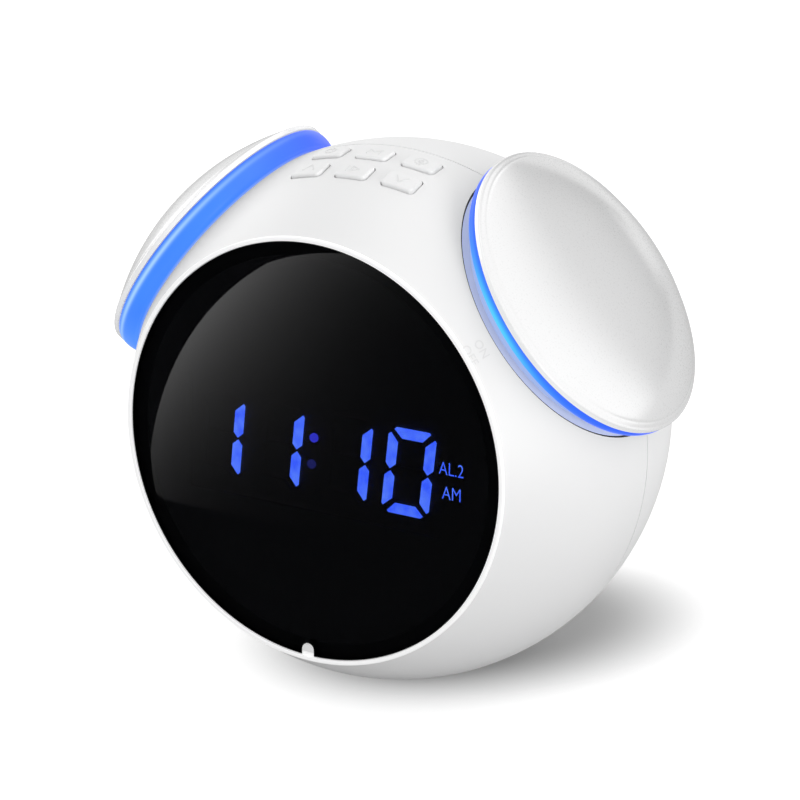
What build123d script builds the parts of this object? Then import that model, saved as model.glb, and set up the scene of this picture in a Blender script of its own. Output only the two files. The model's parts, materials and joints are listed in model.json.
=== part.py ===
from build123d import *
import math
import os

# Ball shaped radio alarm clock: lengths in millimetres, angles in degrees.
# A value that ends in _share is a share of the ball's radius, unless its note says otherwise.
# Pieces are built about the ball's centre and lifted onto the base pad when saved.
# The front faces -Y, +X is to the right of someone who reads the display.

# Ball
ball_r = 58.0
wall = 2.2
base_drop_share = 0.93793     # ball centre down to the flat underside
floor_t = 2.4
seam_w = 0.3            # visible line between the two half shells
seam_depth = 0.5
tongue_t = 1.4          # locating ring of the rear shell inside the front shell
tongue_len = 3.0
slip = 0.1              # gap between fixed pieces that are put into each other
run_gap = 0.08          # radial gap of a shaft or plunger in its guide
overrun = 1.0           # how far a cutting tool runs past what it cuts

# Base pad
pad_r_share = 0.30172
pad_t = 2.0
pad_proud = 1.0

# Lens, measured along its own axis, which leans back
lens_lean = 4.5
lens_r_share = 0.75517
lens_t = 2.4
lens_gap = 0.12
bead_w = 0.85           # white bead round the lens
bead_stand = 0.35       # how far the bead stands out of the ball's section
bead_proud = 0.35       # how far the bead stands in front of the lens
bead_round = 0.22
notch_half_w = 1.5
notch_h = 2.7
lens_land = 2.8         # width of the shoulder behind the lens
shoulder_t = 2.4

# Display behind the lens
frame_land = 1.4        # how far the frame's plate reaches over the shoulder
frame_plate_t = 2.0
module_w_share = 1.03448
module_h_share = 0.43103
module_t_share = 0.13793
module_back = 1.0       # lens back to module face
board_t = 1.6
display_board_w_share = 1.22414
display_board_h_share = 0.56897
display_post_x_share = 0.56552
display_post_y_share = 0.21552
main_board_w_share = 0.93103
main_board_h_share = 0.81034
main_board_gap_share = 0.15   # clear space between display board and main board
main_post_x_share = 0.39655
main_post_y_share = 0.34483
post_r_share = 0.04138
bar_t_share = 0.03621         # width of a lit bar
bar_proud = 0.4
bar_gap = 0.5           # gap between the ends of two bars
tip_share = 0.33              # outer tips lie off a bar's middle by this share of its width
digit_w_share = 0.14793       # between the centre lines of the upright bars
digit_h_share = 0.27414       # between the centre lines of the top and bottom bars
digit_slant = 6.0
digit_pitch_share = 0.24914
pair_pitch_share = 0.27845
display_left_share = 0.00172  # digits stand left of the lens centre
display_drop_share = 0.00517  # digits stand below the lens centre
colon_r_share = 0.01638
colon_pitch_share = 0.09828
colon_lift_share = 0.00983

# Keys on top, in a frame that leans forward
key_lean = 10.7
key_w_share = 0.12241
key_d_share = 0.08448
key_corner = 0.9
key_pitch_x_share = 0.18534
key_pitch_y_share = 0.1431
key_proud = 0.75
key_edge = 0.45
key_gap = 0.3
key_flange = 0.6
key_travel = 0.6
key_room_share = 0.1431       # inside of the shell down to the key board
key_board_w_share = 0.5
key_board_front_share = 0.22414
key_board_back_share = 0.12414
key_post_x_share = 0.17241
key_post_y_share = 0.18103
key_rib_w = 1.2         # ribs stand between the columns of keys
key_rib_t = 1.2
switch_w_share = 0.10345
switch_t_share = 0.05517
plunger_r_share = 0.02931
press_rest = 0.3        # space left under a key that is fully pressed
plunger_in = 1.7        # length of a plunger inside its switch

# Ears, measured along each ear's axis from the ball's centre
ear_tilt = 53.6         # from the vertical
ear_hole_r_share = 0.51293
ear_gap = 0.35          # dark line between shell and seat
seat_sink = 0.2
seat_depth_share = 0.12241
seat_floor_t = 2.0
seat_rim = 1.8
seat_clear = 0.35       # room round a seat's rim
neck_r_share = 0.46207
neck_wall = 2.0
neck_gap = 0.4
neck_rest = 0.3         # space left under the neck of a pressed ear
ring_r_share = 0.54052
ring_bulge = 1.5
ring_rest = 0.8         # space left under the ring of a pressed ear
ring_t = 3.25
web_t = 1.6
cap_r_share = 0.53966
cap_rise_share = 0.18534
cap_edge = 0.9
cap_round = 0.5
cap_wall = 2.0
ear_travel = 1.5
hub_r_share = 0.08966
hub_head_r_share = 0.13793
sleeve_wall = 1.9
sleeve_h_share = 0.09483
well_wall = 1.6
well_depth_share = 0.14655
well_floor_t = 1.5
hub_foot_share = 0.06897      # hub's lower end below the seat's floor top
light_board_t = 1.2
light_board_in_r_share = 0.2069
light_w_share = 0.04138
light_l_share = 0.05517
light_t = 1.0
light_ring_r_share = 0.37241
light_count = 8
spring_gap = 0.6
spring_wire = 1.2
spring_turns = 5
encoder_w_share = 0.2069
encoder_t_share = 0.12069
bush_r_share = 0.06207
bush_h_share = 0.09483
shaft_r_share = 0.05172
shaft_in_share = 0.06897
shaft_out_share = 0.21552
bush_gap = 0.4          # bush top to the hub that turns over it
nut_w_share = 0.17241
nut_t = 1.8

# Case screws
case_side_x_share = 0.80172
case_side_z_share = -0.10345
case_low_x_share = 0.41379
case_low_z_share = -0.68966
boss_r_share = 0.06897
boss_len_share = 0.5          # how far the front bosses may run from the seam
case_shank_r = 1.5
case_head_r = 2.8
case_head_t = 2.0
case_seat_share = 0.12069     # seam plane to the seat of the screw head
case_grip_share = 0.10345
case_well_r = 3.3

# Board and speaker screws
screw_shank_r = 1.0
screw_head_r = 2.0
screw_head_t = 1.4
screw_len = 5.0

# Speaker on the ball's rear axis
speaker_r_share = 0.44828
speaker_in_r_share = 0.35172
speaker_room_share = 0.15172
speaker_flange_t = 1.5
basket_r_share = 0.36897
basket_wall = 1.0
basket_depth_share = 0.16379
basket_foot_r_share = 0.22414
magnet_r_share = 0.2069
magnet_gap_r_share = 0.13621
magnet_t_share = 0.13793
yoke_t = 2.0
pole_r_share = 0.10172
coil_r_share = 0.12069
coil_wall = 0.6
coil_rest = 1.5         # space left under the coil at the end of its travel
cone_r_share = 0.31379
cone_t = 0.6
cone_rim_drop = 1.4
cone_depth_share = 0.11552
dome_h = 1.2
cone_travel = 0.5
surround_h = 0.9
surround_t = 0.6
surround_gap = 0.3
speaker_screw_r_share = 0.41207
grille_pitch_share = 0.05517
grille_hole_r_share = 0.01724
grille_rings = 5

# Battery cover at the lower rear
cover_drop = 50.0       # below the horizontal
cover_r_share = 0.22414
cover_t = 1.8
cover_gap = 0.3
cover_ledge = 1.4
cover_slot_w = 1.6
cover_slot_l_share = 0.24138
cover_slot_depth = 0.9
cover_plug_r_share = 0.14655
cup_wall = 1.6
cup_depth_share = 0.18103
cup_floor_t = 1.5
contact_t = 0.7
cell_r_share = 0.17241
cell_t_share = 0.05517

# Sockets at the rear sides
socket_turn = 40.0
socket_drop = 22.0
pocket_w_share = 0.27586
pocket_h_share = 0.15517
pocket_corner = 1.5
pocket_sink_share = 0.05862
pocket_wall = 1.6
socket_len_share = 0.2069
usb_w_share = 0.22759
usb_h_share = 0.1
usb_wall = 0.4
usb_tongue_t = 1.8
usb_tongue_w_share = 0.16552
usb_tongue_gap = 0.7
usb_back = 2.0
inlet_w_share = 0.15517
inlet_bore_r_share = 0.05345
inlet_pin_r = 1.0
inlet_collar_r_share = 0.06897
inlet_collar_h = 1.6
inlet_depth_share = 0.15517

# Chips on the main board and the aerial inside the rear shell
chip_w_share = 0.2069
chip_t = 1.4
chip_x_share = 0.17241
radio_w_share = 0.31034
radio_h_share = 0.24138
radio_t_share = 0.05172
can_r_share = 0.06897
can_h_share = 0.15517
can_y_share = 0.27586
aerial_t = 0.3
aerial_w_share = 0.10345
aerial_half_l_share = 0.2069
aerial_back_share = 0.17241

# Sizes that follow the ball
base_drop = base_drop_share * ball_r
pad_r = pad_r_share * ball_r
lens_r = lens_r_share * ball_r
module_w = module_w_share * ball_r
module_h = module_h_share * ball_r
module_t = module_t_share * ball_r
display_board_w = display_board_w_share * ball_r
display_board_h = display_board_h_share * ball_r
display_post_x = display_post_x_share * ball_r
display_post_y = display_post_y_share * ball_r
main_board_w = main_board_w_share * ball_r
main_board_h = main_board_h_share * ball_r
main_board_gap = main_board_gap_share * ball_r
main_post_x = main_post_x_share * ball_r
main_post_y = main_post_y_share * ball_r
post_r = post_r_share * ball_r
bar_t = bar_t_share * ball_r
digit_w = digit_w_share * ball_r
digit_h = digit_h_share * ball_r
digit_pitch = digit_pitch_share * ball_r
pair_pitch = pair_pitch_share * ball_r
display_left = display_left_share * ball_r
display_drop = display_drop_share * ball_r
colon_r = colon_r_share * ball_r
colon_pitch = colon_pitch_share * ball_r
colon_lift = colon_lift_share * ball_r
key_w = key_w_share * ball_r
key_d = key_d_share * ball_r
key_pitch_x = key_pitch_x_share * ball_r
key_pitch_y = key_pitch_y_share * ball_r
key_room = key_room_share * ball_r
key_board_w = key_board_w_share * ball_r
key_board_front = key_board_front_share * ball_r
key_board_back = key_board_back_share * ball_r
key_post_x = key_post_x_share * ball_r
key_post_y = key_post_y_share * ball_r
switch_w = switch_w_share * ball_r
switch_t = switch_t_share * ball_r
plunger_r = plunger_r_share * ball_r
ear_hole_r = ear_hole_r_share * ball_r
seat_depth = seat_depth_share * ball_r
neck_r = neck_r_share * ball_r
ring_r = ring_r_share * ball_r
cap_r = cap_r_share * ball_r
cap_rise = cap_rise_share * ball_r
hub_r = hub_r_share * ball_r
hub_head_r = hub_head_r_share * ball_r
sleeve_h = sleeve_h_share * ball_r
well_depth = well_depth_share * ball_r
hub_foot = hub_foot_share * ball_r
light_board_in_r = light_board_in_r_share * ball_r
light_w = light_w_share * ball_r
light_l = light_l_share * ball_r
light_ring_r = light_ring_r_share * ball_r
encoder_w = encoder_w_share * ball_r
encoder_t = encoder_t_share * ball_r
bush_r = bush_r_share * ball_r
bush_h = bush_h_share * ball_r
shaft_r = shaft_r_share * ball_r
shaft_in = shaft_in_share * ball_r
shaft_out = shaft_out_share * ball_r
nut_w = nut_w_share * ball_r
case_side_x = case_side_x_share * ball_r
case_side_z = case_side_z_share * ball_r
case_low_x = case_low_x_share * ball_r
case_low_z = case_low_z_share * ball_r
boss_r = boss_r_share * ball_r
boss_len = boss_len_share * ball_r
case_seat = case_seat_share * ball_r
case_grip = case_grip_share * ball_r
speaker_r = speaker_r_share * ball_r
speaker_in_r = speaker_in_r_share * ball_r
speaker_room = speaker_room_share * ball_r
basket_r = basket_r_share * ball_r
basket_depth = basket_depth_share * ball_r
basket_foot_r = basket_foot_r_share * ball_r
magnet_r = magnet_r_share * ball_r
magnet_gap_r = magnet_gap_r_share * ball_r
magnet_t = magnet_t_share * ball_r
pole_r = pole_r_share * ball_r
coil_r = coil_r_share * ball_r
cone_r = cone_r_share * ball_r
cone_depth = cone_depth_share * ball_r
speaker_screw_r = speaker_screw_r_share * ball_r
grille_pitch = grille_pitch_share * ball_r
grille_hole_r = grille_hole_r_share * ball_r
cover_r = cover_r_share * ball_r
cover_slot_l = cover_slot_l_share * ball_r
cover_plug_r = cover_plug_r_share * ball_r
cup_depth = cup_depth_share * ball_r
cell_r = cell_r_share * ball_r
cell_t = cell_t_share * ball_r
pocket_w = pocket_w_share * ball_r
pocket_h = pocket_h_share * ball_r
pocket_sink = pocket_sink_share * ball_r
socket_len = socket_len_share * ball_r
usb_w = usb_w_share * ball_r
usb_h = usb_h_share * ball_r
usb_tongue_w = usb_tongue_w_share * ball_r
inlet_w = inlet_w_share * ball_r
inlet_bore_r = inlet_bore_r_share * ball_r
inlet_collar_r = inlet_collar_r_share * ball_r
inlet_depth = inlet_depth_share * ball_r
chip_w = chip_w_share * ball_r
chip_x = chip_x_share * ball_r
radio_w = radio_w_share * ball_r
radio_h = radio_h_share * ball_r
radio_t = radio_t_share * ball_r
can_r = can_r_share * ball_r
can_h = can_h_share * ball_r
can_y = can_y_share * ball_r
aerial_w = aerial_w_share * ball_r
aerial_half_l = aerial_half_l_share * ball_r
aerial_back = aerial_back_share * ball_r

# Derived places
inner_r = ball_r - wall
outside = ball_r + cap_rise + overrun
centre_z = base_drop + pad_proud
hole_r = lens_r + lens_gap
bead_r = hole_r + bead_w
lens_plane = math.sqrt(ball_r ** 2 - (bead_r - bead_stand) ** 2)
lens_back = lens_plane - lens_t
shoulder_r = lens_r - lens_land
shoulder_back = lens_back - shoulder_t
module_face = lens_back - module_back
display_board_top = module_face - module_t
display_board_low = display_board_top - board_t
main_board_top = display_board_low - main_board_gap
main_board_low = main_board_top - board_t
key_board_top = inner_r - key_room
plunger_stand = key_travel + press_rest
key_low = key_board_top + switch_t + plunger_stand
key_span = 2 * key_pitch_x + key_w + 2 * (2 * key_gap + key_flange)
ear_mouth = math.sqrt(ball_r ** 2 - ear_hole_r ** 2)
seat_top = ear_mouth - seat_sink
seat_r = ear_hole_r - ear_gap
seat_rim_r = seat_r + seat_rim
cup_r = neck_r + neck_gap
seat_floor = seat_top - seat_depth
seat_low = seat_floor - seat_floor_t
ring_low = seat_top + ear_travel + ring_rest
ring_top = ring_low + ring_t
neck_low = seat_floor + light_board_t + ear_travel + neck_rest
web_low = ring_top - web_t
cap_sag = cap_rise - cap_edge
dome_r = (cap_r ** 2 + cap_sag ** 2) / (2 * cap_sag)
dome_z = ring_top + cap_rise - dome_r
speaker_face = inner_r - speaker_room
cup_floor = ball_r - cup_depth
pocket_floor = ball_r - pocket_sink
pocket_low = pocket_floor - pocket_wall

bottom_up = (Align.CENTER, Align.CENTER, Align.MIN)


# Shapes on a local upright axis

def rod(radius, low, high, x=0, y=0):
    return Pos(x, y, low) * Cylinder(radius, high - low, align=bottom_up)


def tube(outer, inner, low, high):
    return rod(outer, low, high) - rod(inner, low - overrun, high + overrun)


def block(width, depth, low, high, x=0, y=0):
    return Pos(x, y, low) * Box(width, depth, high - low, align=bottom_up)


def slab(width, depth, corner, low, high, x=0, y=0):
    return Pos(x, y, low) * extrude(RectangleRounded(width, depth, corner), high - low)


def turned(*outline):
    face = make_face(Plane.XZ * Polyline(*outline, close=True))
    return revolve(face, Axis.Z)


def on_corners(x, y):
    return [(sx * x, sy * y) for sx in (-1, 1) for sy in (-1, 1)]


def on_circle(radius, count, start=0):
    turns = [start + 2 * math.pi * i / count for i in range(count)]
    return [(radius * math.cos(turn), radius * math.sin(turn)) for turn in turns]


def above_floor(radius, gap):
    return Sphere(radius) & block(2 * outside, 2 * outside, gap + floor_t - base_drop, outside)


def between(front, back):
    return Pos(0, front, 0) * Box(
        2 * outside, back - front, 2 * outside, align=(Align.CENTER, Align.MIN, Align.CENTER))


# Local frames, all with their origin at the ball's centre

lens_place = Rot(90 - lens_lean, 0, 0)
key_place = Rot(key_lean, 0, 0)
rear_place = Rot(-90, 0, 0)
cover_place = Rot(-90 - cover_drop, 0, 0)


def ear_place(side):
    return Rot(0, side * ear_tilt, 0)


def socket_place(side):
    return Rot(0, 0, -side * socket_turn) * Rot(-90 - socket_drop, 0, 0)


def clear_of_ears(solid):
    for side in sides.values():
        solid -= ear_place(side) * rod(seat_rim_r + seat_clear, seat_low - seat_clear, outside)
    return solid


skin = Sphere(ball_r - wall / 2)     # inner features end inside the wall
sides = {"left": -1, "right": 1}
key_columns = {"left": -1, "middle": 0, "right": 1}
key_rows = {"front": -1, "rear": 1}
key_places = {
    f"{row}_{column}": (cx * key_pitch_x, ry * key_pitch_y / 2)
    for row, ry in key_rows.items() for column, cx in key_columns.items()
}
case_places = [(sx * case_side_x, case_side_z) for sx in (-1, 1)]
case_places += [(sx * case_low_x, case_low_z) for sx in (-1, 1)]
display_posts = on_corners(display_post_x, display_post_y)
main_posts = on_corners(main_post_x, main_post_y)
speaker_screw_places = on_circle(speaker_screw_r, 4, math.pi / 4)
parts = {}


# Half shells

def plain_ball():
    under = block(2 * outside, 2 * outside, -outside, -base_drop)
    pad_seat = rod(pad_r + slip, -base_drop - overrun, -base_drop + pad_t - pad_proud)
    seam = rear_place * tube(ball_r + overrun, ball_r - seam_depth, -seam_w / 2, seam_w / 2)
    ball = Sphere(ball_r) - under - above_floor(inner_r, 0) - pad_seat - seam
    for side in sides.values():
        ball -= ear_place(side) * rod(ear_hole_r, seat_low, outside)
    return ball


def notch(grow):
    half_w = notch_half_w + grow
    top = -lens_r + notch_h - notch_half_w
    column = block(2 * half_w, notch_h + overrun, lens_back, lens_plane, 0, top - (notch_h + overrun) / 2)
    return column + rod(half_w, lens_back, lens_plane, 0, top)


def case_bosses(front, back):
    bosses = [rear_place * rod(boss_r, front, back, x, -z) for x, z in case_places]
    return [boss & skin for boss in bosses]


def front_shell():
    shell = plain_ball() & between(-outside, 0)
    shoulder = tube(bead_r, shoulder_r, shoulder_back, lens_back)
    bead = tube(bead_r, hole_r, lens_back, lens_plane + bead_proud)
    bead = fillet(bead.edges().group_by(Axis.Z)[-1], bead_round)
    opening = rod(hole_r + bead_w / 2, lens_back, outside)
    shell = shell - lens_place * opening + lens_place * bead
    shell += clear_of_ears(lens_place * shoulder & skin)
    shell += (lens_place * notch(-lens_gap)) & skin
    for x, y in key_places.values():
        shell -= key_place * slab(key_w + 2 * key_gap, key_d + 2 * key_gap, key_corner + key_gap,
                                  key_low, outside, x, y)
    posts = [rod(post_r, key_board_top, outside, sx * key_post_x, -key_post_y) for sx in (-1, 1)]
    ribs = [block(key_rib_w, key_rib_t, key_board_top - board_t, outside,
                  sx * key_pitch_x / 2, key_board_back + key_rib_t / 2) for sx in (-1, 1)]
    for solid in posts + ribs:
        shell += key_place * solid & skin & between(-outside, -slip)
    for sx in (-1, 1):
        shell -= key_place * rod(screw_shank_r + slip, key_board_top - overrun,
                                 key_board_top + screw_len, sx * key_post_x, -key_post_y)
    shell += case_bosses(-boss_len, 0)
    for x, z in case_places:
        shell -= rear_place * rod(case_shank_r + slip, -case_grip - overrun, overrun, x, -z)
    return shell


def tongue():
    hollow = Sphere(inner_r - slip - tongue_t)
    ring = (above_floor(inner_r - slip, slip) - hollow) & between(-tongue_len, 0)
    ring -= block(key_span, 2 * outside, 0, outside)
    root = (above_floor(ball_r - wall / 2, 0) - hollow) & between(0, tongue_len)
    return clear_of_ears(ring + root)


def grille():
    places = [(0, 0)]
    for ring in range(1, grille_rings + 1):
        places += on_circle(ring * grille_pitch, 6 * ring)
    return [rear_place * rod(grille_hole_r, speaker_face, outside, x, y) for x, y in places]


def pocket(grow, low):
    return slab(pocket_w + 2 * grow, pocket_h + 2 * grow, pocket_corner + grow, low, outside)


def rear_shell():
    shell = plain_ball() & between(0, outside)
    shell += tongue()
    shell += rear_place * tube(speaker_r + slip, speaker_in_r + slip, speaker_face, outside) & skin
    cup = rod(cover_r - cover_ledge + cup_wall, cup_floor, outside)
    shell += cover_place * cup & skin
    for side in sides.values():
        shell += socket_place(side) * pocket(pocket_wall, pocket_low) & skin
        shell -= socket_place(side) * pocket(0, pocket_floor)
    shell -= socket_place(1) * block(usb_w + 2 * slip, usb_h + 2 * slip, pocket_low - overrun, outside)
    shell -= socket_place(-1) * rod(inlet_collar_r + slip, pocket_low - overrun, outside)
    shell -= cover_place * rod(cover_r + cover_gap, ball_r - cover_t, outside)
    shell -= cover_place * rod(cover_r - cover_ledge, cup_floor + cup_floor_t, outside)
    shell += case_bosses(0, outside)
    for x, z in case_places:
        shell -= rear_place * rod(case_well_r, case_seat, outside, x, -z)
        shell -= rear_place * rod(case_shank_r + slip, -overrun, case_seat + overrun, x, -z)
    for x, y in speaker_screw_places:
        shell -= rear_place * rod(screw_shank_r + slip, speaker_face - overrun,
                                  speaker_face + screw_len - speaker_flange_t, x, y)
    return shell - grille()


parts["front_shell"] = front_shell()
parts["rear_shell"] = rear_shell()
parts["base_pad"] = rod(pad_r, -base_drop - pad_proud, -base_drop - pad_proud + pad_t)


# Screws

def screw(shank_r, head_r, head_t, length):
    return rod(shank_r, 0, length) + rod(head_r, -head_t, 0)


def case_screws():
    one = screw(case_shank_r, case_head_r, case_head_t, case_seat + case_grip)
    return [Pos(x, case_seat, z) * Rot(90, 0, 0) * one for x, z in case_places]


def board_screws():
    one = screw(screw_shank_r, screw_head_r, screw_head_t, screw_len)
    places = [lens_place * Pos(x, y, display_board_low) for x, y in display_posts]
    places += [lens_place * Pos(x, y, main_board_low) for x, y in main_posts]
    places += [key_place * Pos(sx * key_post_x, -key_post_y, key_board_top - board_t) for sx in (-1, 1)]
    places += [rear_place * Pos(x, y, speaker_face - speaker_flange_t) for x, y in speaker_screw_places]
    return [place * one for place in places]


parts["case_screws"] = case_screws()
parts["board_screws"] = board_screws()


# Lens and display

def drilled(board, places, top):
    for x, y in places:
        board -= rod(screw_shank_r + slip, top - board_t - overrun, top + overrun, x, y)
    return board


def display_frame():
    frame = rod(shoulder_r - slip, shoulder_back, lens_back - slip)
    frame += rod(shoulder_r + frame_land, shoulder_back - frame_plate_t, shoulder_back)
    frame -= block(module_w + 2 * slip, module_h + 2 * slip, shoulder_back - frame_plate_t - overrun, outside)
    plate_low = shoulder_back - frame_plate_t
    for x, y in display_posts:
        frame += rod(post_r, display_board_top, plate_low, x, y)
        frame -= rod(screw_shank_r + slip, display_board_top - overrun, display_board_top + screw_len, x, y)
    for x, y in main_posts:
        frame += rod(post_r, main_board_top, plate_low, x, y)
        frame -= rod(screw_shank_r + slip, main_board_top - overrun, main_board_top + screw_len, x, y)
    return frame


def bar(length, start_tip=0, end_tip=0):
    half, side = length / 2, bar_t / 2
    outline = Polyline((-half, start_tip), (-half + side - start_tip, side),
                       (half - side + end_tip, side), (half, end_tip),
                       (half - side - end_tip, -side), (-half + side + start_tip, -side), close=True)
    return extrude(make_face(outline), bar_proud)


def digit_bars():
    across_l, upright_l, tip = digit_w - bar_gap, digit_h / 2 - bar_gap, tip_share * bar_t
    lean = math.tan(math.radians(digit_slant))
    half_w, half_h, quarter = digit_w / 2, digit_h / 2, digit_h / 4
    upright = Rot(0, 0, 90 - digit_slant)
    return {
        "a": Pos(half_h * lean, half_h) * bar(across_l, tip, tip),
        "g": bar(across_l),
        "d": Pos(-half_h * lean, -half_h) * bar(across_l, -tip, -tip),
        "b": Pos(half_w + quarter * lean, quarter) * upright * bar(upright_l, 0, -tip),
        "f": Pos(-half_w + quarter * lean, quarter) * upright * bar(upright_l, 0, tip),
        "c": Pos(half_w - quarter * lean, -quarter) * upright * bar(upright_l, -tip, 0),
        "e": Pos(-half_w - quarter * lean, -quarter) * upright * bar(upright_l, tip, 0),
    }


def display_bars():
    centres = (-pair_pitch / 2 - digit_pitch, -pair_pitch / 2, pair_pitch / 2, pair_pitch / 2 + digit_pitch)
    lit, dark = [], []
    for centre, lit_bars in zip(centres, ("bc", "bc", "bc", "abcdef")):
        for name, solid in digit_bars().items():
            placed = lens_place * Pos(centre - display_left, -display_drop, module_face) * solid
            (lit if name in lit_bars else dark).append(placed)
    return lit, dark


def colon_dots():
    lean = math.tan(math.radians(digit_slant))
    heights = (colon_lift + colon_pitch / 2, colon_lift - colon_pitch / 2)
    return [lens_place * rod(colon_r, module_face, module_face + bar_proud,
                             y * lean - display_left, y - display_drop) for y in heights]


parts["display_lens"] = lens_place * (rod(lens_r, lens_back, lens_plane) - notch(0))
parts["display_frame"] = clear_of_ears(lens_place * display_frame())
parts["led_module"] = lens_place * block(module_w, module_h, display_board_top, module_face)
parts["lit_bars"], parts["dark_bars"] = display_bars()
parts["colon_dots"] = colon_dots()
parts["display_board"] = lens_place * drilled(
    block(display_board_w, display_board_h, display_board_low, display_board_top),
    display_posts, display_board_top)
parts["main_board"] = lens_place * drilled(
    block(main_board_w, main_board_h, main_board_low, main_board_top),
    main_posts, main_board_top)
parts["processor_chip"] = lens_place * block(
    chip_w, chip_w, main_board_low - chip_t, main_board_low, chip_x)
parts["radio_module"] = lens_place * block(
    radio_w, radio_h, main_board_low - radio_t, main_board_low, -chip_x)
parts["capacitors"] = [
    lens_place * rod(can_r, main_board_low - can_h, main_board_low, sx * chip_x, -can_y) for sx in (-1, 1)]


# Keys, their switches and their board

def key(x, y):
    cap = slab(key_w, key_d, key_corner, key_low, outside, x, y) & Sphere(ball_r + key_proud)
    top = cap.faces().sort_by(Axis.Z)[-1]
    cap = fillet(top.edges(), key_edge)
    grow = 2 * (key_gap + key_flange)
    flange = slab(key_w + grow, key_d + grow, key_corner + key_gap + key_flange, key_low, outside, x, y)
    return cap + (flange & Sphere(inner_r - key_gap))


def switch_body(x, y):
    return block(switch_w, switch_w, key_board_top, key_board_top + switch_t, x, y) - rod(
        plunger_r + run_gap, key_board_top - overrun, outside, x, y)


for name, (x, y) in key_places.items():
    parts[f"key_{name}"] = key_place * key(x, y)
    parts[f"plunger_{name}"] = key_place * rod(
        plunger_r, key_low - plunger_stand - plunger_in, key_low, x, y)
parts["key_switches"] = [key_place * switch_body(x, y) for x, y in key_places.values()]
parts["key_board"] = key_place * drilled(
    block(key_board_w, key_board_front + key_board_back, key_board_top - board_t, key_board_top,
          0, (key_board_back - key_board_front) / 2),
    [(sx * key_post_x, -key_post_y) for sx in (-1, 1)], key_board_top)


# Ears

def dome(radius):
    return Pos(0, 0, dome_z) * Sphere(radius)


def ear_cap():
    cap = rod(cap_r, ring_top, outside) & dome(dome_r)
    cap = fillet(cap.edges().filter_by(GeomType.CIRCLE), cap_round)
    return cap - dome(dome_r - cap_wall)


def light_ring():
    mid = (ring_low + ring_top) / 2
    edge_r = ring_r - ring_bulge
    outline = Polyline(
        (edge_r, ring_low), (neck_r, ring_low), (neck_r, neck_low), (neck_r - neck_wall, neck_low),
        (neck_r - neck_wall, web_low), (hub_r + slip, web_low), (hub_r + slip, ring_top), (edge_r, ring_top))
    bulge = ThreePointArc((edge_r, ring_top), (ring_r, mid), (edge_r, ring_low))
    return revolve(make_face(Plane.XZ * (outline + bulge)), Axis.Z)


def ear_seat(bore_r):
    seat = tube(seat_r, cup_r, seat_low, seat_top) + tube(seat_r, bore_r, seat_low, seat_floor)
    rim = tube(seat_rim_r, cup_r, seat_floor, outside) & Sphere(inner_r - slip)
    return seat + rim


def light_board():
    return tube(cup_r - slip, light_board_in_r, seat_floor, seat_floor + light_board_t)


def lights():
    low = seat_floor + light_board_t
    one = block(light_w, light_l, low, low + light_t, light_ring_r)
    return [Rot(0, 0, 360 * i / light_count) * one for i in range(light_count)]


def hub(low):
    head = rod(hub_head_r, ring_top, outside) & dome(dome_r - cap_wall - slip)
    return head + rod(hub_r, low, ring_top)


for name, side in sides.items():
    place = ear_place(side)
    parts[f"{name}_ear_cap"] = place * ear_cap()
    parts[f"{name}_light_ring"] = place * light_ring()
    parts[f"{name}_light_board"] = place * light_board()
    parts[f"{name}_lights"] = [place * solid for solid in lights()]

# Right ear: pressed, on a sleeve with a return spring and a switch in a well
sleeve_r = hub_r + run_gap
well_r = sleeve_r + sleeve_wall
well_low = seat_low - well_depth
well_floor = well_low + well_floor_t
hub_low = seat_floor - hub_foot
right_switch_top = hub_low - ear_travel - slip
right_plunger_low = well_floor + ear_travel + slip


def right_seat():
    seat = ear_seat(sleeve_r) + tube(well_r, sleeve_r, seat_low, seat_floor + sleeve_h)
    well = tube(well_r + well_wall, well_r, well_low, seat_low)
    return seat + well + rod(well_r + well_wall, well_low, well_floor)


def return_spring():
    coil_r = well_r + spring_gap + spring_wire / 2
    low = seat_floor + spring_wire / 2
    high = web_low - spring_wire / 2
    path = Pos(0, 0, low) * Helix((high - low) / spring_turns, high - low, coil_r)
    section = Plane(path @ 0, z_dir=path % 0) * Circle(spring_wire / 2)
    return sweep(section, path, is_frenet=True)


right = ear_place(1)
parts["right_ear_seat"] = right * right_seat()
parts["right_hub"] = right * hub(hub_low)
parts["right_return_spring"] = right * return_spring()
parts["right_switch"] = right * (block(switch_w, switch_w, well_floor, right_switch_top) - rod(
    plunger_r + run_gap, well_floor - overrun, outside))
parts["right_switch_plunger"] = right * rod(plunger_r, right_plunger_low, hub_low)

# Left ear: turned, on the shaft of a rotary encoder
bush_top = seat_low + bush_h
shaft_low = seat_low - shaft_in
shaft_top = seat_low + shaft_out


def encoder_body():
    body = block(encoder_w, encoder_w, seat_low - encoder_t, seat_low) + rod(bush_r, seat_low, bush_top)
    return body - rod(shaft_r + run_gap, shaft_low, outside)


def left_hub():
    return hub(bush_top + bush_gap) - rod(shaft_r + slip, seat_low, shaft_top + slip)


def encoder_nut():
    hexagon = extrude(RegularPolygon(nut_w / 2, 6, major_radius=False), nut_t)
    return Pos(0, 0, seat_floor) * hexagon - rod(bush_r + slip, seat_low, outside)


left = ear_place(-1)
parts["left_ear_seat"] = left * ear_seat(bush_r + slip)
parts["left_hub"] = left * left_hub()
parts["encoder_body"] = left * encoder_body()
parts["encoder_shaft"] = left * rod(shaft_r, shaft_low + slip, shaft_top)
parts["encoder_nut"] = left * encoder_nut()


# Speaker

flange_low = speaker_face - speaker_flange_t
basket_low = flange_low - basket_depth
magnet_top = basket_low - basket_wall
magnet_low = magnet_top - magnet_t
cone_rim = speaker_face - cone_rim_drop
cone_low = cone_rim - cone_depth
coil_low = magnet_low + yoke_t + cone_travel + coil_rest


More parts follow.
